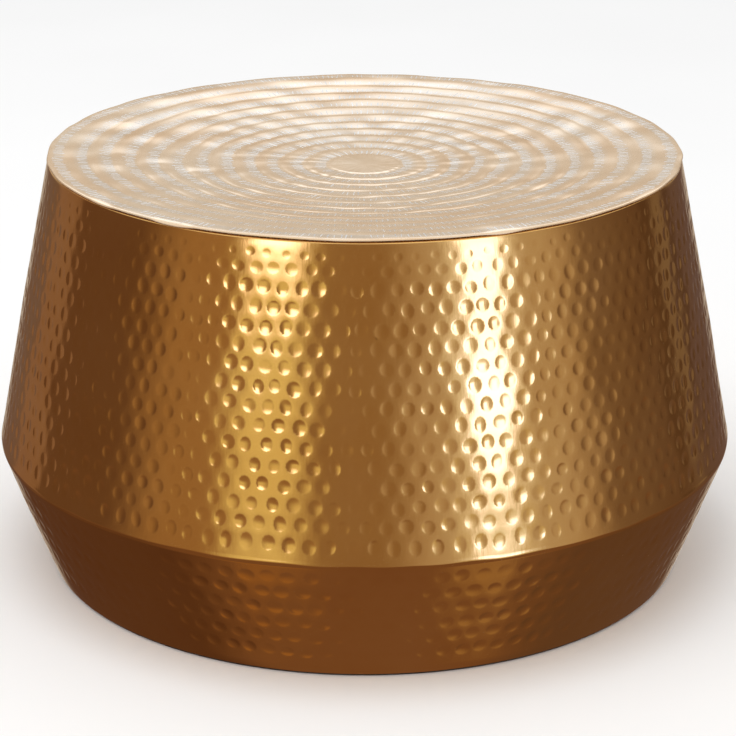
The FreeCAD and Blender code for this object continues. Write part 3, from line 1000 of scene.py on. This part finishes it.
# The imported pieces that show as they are
for material, nodes in (
    (weld_metal(), ("belly_weld", "upper_seam_weld", "lower_seam_weld")),
    (zinc_steel(), ("top_studs", "stud_washers", "stud_nuts")),
    (strip_rubber(), ("floor_strip",)),
):
    for node in nodes:
        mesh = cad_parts[node].data
        mesh.materials.clear()
        mesh.materials.append(material)


# Studio: a pale floor and a white surround, and domes of cloths and soft boxes that only the metal shows


def only_in_metal(item):
    """Keeps a stage surface out of everything but mirror-like reflections."""
    item.visible_camera = False
    item.visible_diffuse = False
    item.visible_shadow = False
    item.visible_transmission = False
    item.visible_volume_scatter = False


def stage_grid(name, points, material):
    """A stage surface from a grid of points in metres."""
    rows, columns = points.shape[:2]
    numbers = np.arange(rows * columns).reshape(rows, columns)
    low, high = numbers[:-1], numbers[1:]
    quads = np.stack([low[:, :-1], low[:, 1:], high[:, 1:], high[:, :-1]], axis=-1)
    mesh = bpy.data.meshes.new(name)
    mesh.from_pydata(points.reshape(-1, 3), [], quads.reshape(-1, 4).tolist())
    mesh.materials.append(material)
    item = bpy.data.objects.new(name, mesh)
    bpy.context.scene.collection.objects.link(item)
    return item


DOME_RADIUS = 3.0
STRIP_RADIUS = 0.97 * DOME_RADIUS
TOP_CLOTH_RADIUS = 0.94 * DOME_RADIUS
CLOTH = (0.138, 0.076, 0.052)
# Cloths and soft boxes of the dome, each laid over the ones before: left and right edge in degrees round
# the table, softness of those edges, low and high edge in degrees above the floor, their softness, colour
PANELS = (
    (-200, -131, 5, -100, 100, 10, (0.175, 0.117, 0.095)),
    (-131, -112, 3, -100, 100, 10, (0.260, 0.160, 0.115)),
    (-69, 75, 24, -100, 100, 10, (0.330, 0.207, 0.120)),
    (-16, 14, 12, -100, 100, 10, (0.290, 0.192, 0.122)),
    (70, 200, 22, -100, 100, 10, (0.195, 0.135, 0.110)),
    (90, 200, 28, -100, 100, 10, (0.138, 0.088, 0.070)),
    (118, 200, 16, -100, 100, 10, (0.130, 0.087, 0.080)),
    (106, 113, 4, -8.5, 100, 5, (0.100, 0.060, 0.043)),
    (114, 122, 4, -9, 100, 5, (0.205, 0.150, 0.112)),
    (123, 129, 4, -9.5, 100, 5, (0.095, 0.058, 0.046)),
    (14, 68, 24, -12, 100, 12, (0.490, 0.420, 0.370)),
    (-200, 200, 1, -100, -20, 22, (0.190, 0.098, 0.062)),
    (-100, 105, 20, -100, -12, 14, (0.190, 0.098, 0.062)),
    (-200, -64, 34, -74, -20, 16, (0.105, 0.050, 0.031)),
    (74, 200, 40, -74, -20, 16, (0.125, 0.072, 0.052)),
    (-50, -20, 12, -55, -34, 10, (0.315, 0.158, 0.066)),
    (34, 60, 14, -56, -34, 10, (0.33, 0.205, 0.110)),
    (-40, -18, 14, -1.5, 100, 6, (0.77, 0.695, 0.40)),
    (27, 49, 8, -14, 100, 6, (0.59, 0.525, 0.385)),
    (27, 49, 8, 1, 100, 6, (0.82, 0.86, 1.0)),
    (32, 44, 5, -6, 100, 6, (0.88, 0.95, 1.12)),
    (155, 205, 14, -30, 100, 10, (0.575, 0.505, 0.42)),
    (135, 225, 24, 4, 100, 6, (0.575, 0.505, 0.42)),
    (-250, 250, 1, 32, 120, 10, (0.86, 0.82, 0.77)),
    (130, 230, 24, 29, 46, 14, (1.54, 1.69, 1.90)),
    (-100, 100, 20, 46, 120, 6, (1.05, 1.0, 0.94)),
)
# Bright strip boxes in front of the dome, given the same way; the walls alone show them
STRIP_BOXES = (
    (-37, -22, 9, 12, 32, 8, (3.2, 3.0, 3.8)),
    (32.5, 43.5, 4, 1.2, 32, 4, (2.5, 2.8, 5.0)),
    (31, 45, 5, 13, 32, 8, (2.5, 2.7, 4.2)),
)
# A pale cloth round the front and the sides, given the same way; the top alone shows it
TOP_CLOTH = ((-132, 132, 20, 4, 36, 6, (0.575, 0.505, 0.42)),)


def span(value, low, high, soft):
    """1 between low and high and 0 outside, with each edge an S as wide as soft."""
    rising = smooth_step(value, low - soft / 2, low + soft / 2)
    return rising * (1 - smooth_step(value, high - soft / 2, high + soft / 2))


def lay_over(colour, panels, turn, rise):
    """Colours with panels laid over them, at turns from the front and rises off the floor, in degrees."""
    for left, right, side_soft, low, high, level_soft, tone in panels:
        cover = span(turn, left, right, side_soft) + span(turn + 360, left, right, side_soft)
        cover = np.clip(cover, 0, 1) * span(rise, low, high, level_soft)
        colour = colour + cover[..., None] * (np.array(tone) - colour)
    return colour


def glowing(name, clear):
    """A finish that glows with the tone at each point; a clear one lets what is behind it through."""
    material = bpy.data.materials.new(name)
    material.use_nodes = True
    nodes, links = material.node_tree.nodes, material.node_tree.links
    nodes.clear()
    tone = nodes.new("ShaderNodeAttribute")
    tone.attribute_name = "tone"
    emission = nodes.new("ShaderNodeEmission")
    output = nodes.new("ShaderNodeOutputMaterial")
    links.new(tone.outputs["Color"], emission.inputs["Color"])
    links.new(emission.outputs["Emission"], output.inputs["Surface"])
    if clear:
        glow = nodes.new("ShaderNodeAddShader")
        links.new(emission.outputs["Emission"], glow.inputs[0])
        links.new(nodes.new("ShaderNodeBsdfTransparent").outputs["BSDF"], glow.inputs[1])
        links.new(glow.outputs["Shader"], output.inputs["Surface"])
    material.cycles.emission_sampling = "NONE"
    return material


def dome(name, radius, turn, rise, tones, clear):
    """A round dome above and below the floor, with a glowing tone at each turn and rise."""
    level_radius = radius * np.cos(np.radians(rise))
    points = around(level_radius, radius * np.sin(np.radians(rise)), np.radians(turn))
    item = stage_grid(name, points, glowing(name, clear))
    colours = np.concatenate([tones, np.ones(turn.shape + (1,))], axis=-1)
    attribute = item.data.attributes.new("tone", "FLOAT_COLOR", "POINT")
    attribute.data.foreach_set("color", colours.ravel())
    only_in_metal(item)
    return item


def light_domes():
    """A dome of cloths and soft boxes, and clear ones inside it whose glow only some pieces show.

    Each dome has a point for every degree.
    """
    turn, rise = np.meshgrid(np.linspace(-180, 180, 361), np.linspace(-89, 90, 180))
    room = lay_over(np.broadcast_to(CLOTH, turn.shape + (3,)), PANELS, turn, rise)
    dome("light_dome", DOME_RADIUS, turn, rise, room, False)
    for name, radius, panels, pieces in (
        ("strip_boxes", STRIP_RADIUS, STRIP_BOXES, ("upper_wall", "lower_wall")),
        ("top_cloths", TOP_CLOTH_RADIUS, TOP_CLOTH, ("top_sheet", "chisel_marks")),
    ):
        added = np.maximum(lay_over(room, panels, turn, rise) - room, 0)
        glow = dome(name, radius, turn, rise, added, True)
        shown_in = bpy.data.collections.new(name)
        for piece in pieces:
            shown_in.objects.link(bpy.data.objects[piece])
        glow.light_linking.receiver_collection = shown_in


FLOOR_RADIUS = 9.0
FLOOR_SIDES = 96


def pale_floor():
    """A plain pale round floor, clear from below; the metal shows the dome instead."""
    finish = Finish("pale_floor")
    tone = finish.clouds(2.0, 2.0, (0.3, rgb(0.93, 0.93, 0.93)), (0.7, rgb(0.95, 0.95, 0.95)))
    finish.give(Base_Color=tone, Roughness=0.9, Specular_IOR_Level=0.0)
    one_sided = finish.add("ShaderNodeMixShader")
    finish.link(finish.add("ShaderNodeNewGeometry").outputs["Backfacing"], one_sided.inputs["Fac"])
    finish.link(finish.shader.outputs["BSDF"], one_sided.inputs[1])
    finish.link(finish.add("ShaderNodeBsdfTransparent").outputs["BSDF"], one_sided.inputs[2])
    finish.link(one_sided.outputs["Shader"], finish.nodes["Material Output"].inputs["Surface"])
    turn = np.linspace(0, -FULL_TURN, FLOOR_SIDES + 1)
    points = around(np.array([[0.0], [FLOOR_RADIUS]]), 0.0, turn[None, :])
    floor = stage_grid("pale_floor", points, finish.material)
    floor.visible_glossy = False


FLOOR_LIGHT = 0.88


def white_surround():
    """A world that is plain white to the eye and in the metal, and lights the floor a little lower."""
    world = bpy.data.worlds.new("white_surround")
    bpy.context.scene.world = world
    world.use_nodes = True
    nodes, links = world.node_tree.nodes, world.node_tree.links
    background = nodes["Background"]
    background.inputs["Color"].default_value = rgb(1.0, 1.0, 1.0)
    path = nodes.new("ShaderNodeLightPath")
    seen = nodes.new("ShaderNodeMath")
    seen.operation = "MAXIMUM"
    seen_or_through = nodes.new("ShaderNodeMath")
    seen_or_through.operation = "MAXIMUM"
    links.new(path.outputs["Is Camera Ray"], seen.inputs[0])
    links.new(path.outputs["Is Glossy Ray"], seen.inputs[1])
    links.new(seen.outputs["Value"], seen_or_through.inputs[0])
    links.new(path.outputs["Is Transmission Ray"], seen_or_through.inputs[1])
    strength = nodes.new("ShaderNodeMapRange")
    strength.inputs["To Min"].default_value = FLOOR_LIGHT
    strength.inputs["To Max"].default_value = 1.0
    links.new(seen_or_through.outputs["Value"], strength.inputs["Value"])
    links.new(strength.outputs["Result"], background.inputs["Strength"])


def soft_lamp(name, place, size, power):
    """A large square lamp that points at the table; the metal doesn't show it."""
    light = bpy.data.lights.new(name, "AREA")
    light.size = size
    light.energy = power
    lamp = bpy.data.objects.new(name, light)
    lamp.location = place
    lamp.rotation_euler = (-lamp.location).to_track_quat("-Z", "Y").to_euler()
    lamp.visible_glossy = False
    bpy.context.scene.collection.objects.link(lamp)


light_domes()
pale_floor()
white_surround()
soft_lamp("overhead_lamp", place=(-0.6, -0.8, 3.2), size=2.4, power=34.0)

# Camera at the photograph's angle: places in metres, lens and sensor in millimetres
CAMERA_DISTANCE = 2.071
CAMERA_RISE = math.radians(20.0)
LOOK_AT = 0.1509
LENS = 122.37
SENSOR = 36.0
SIDE_SHIFT = 0.0046
camera_data = bpy.data.cameras.new("camera")
camera_data.lens = LENS
camera_data.sensor_width = SENSOR
camera_data.shift_x = SIDE_SHIFT
camera = bpy.data.objects.new("camera", camera_data)
camera.location = (
    0.0,
    -CAMERA_DISTANCE * math.cos(CAMERA_RISE),
    LOOK_AT + CAMERA_DISTANCE * math.sin(CAMERA_RISE),
)
camera.rotation_euler = (math.pi / 2 - CAMERA_RISE, 0.0, 0.0)
bpy.context.scene.collection.objects.link(camera)
bpy.context.scene.camera = camera
bpy.context.scene.view_settings.view_transform = "Standard"
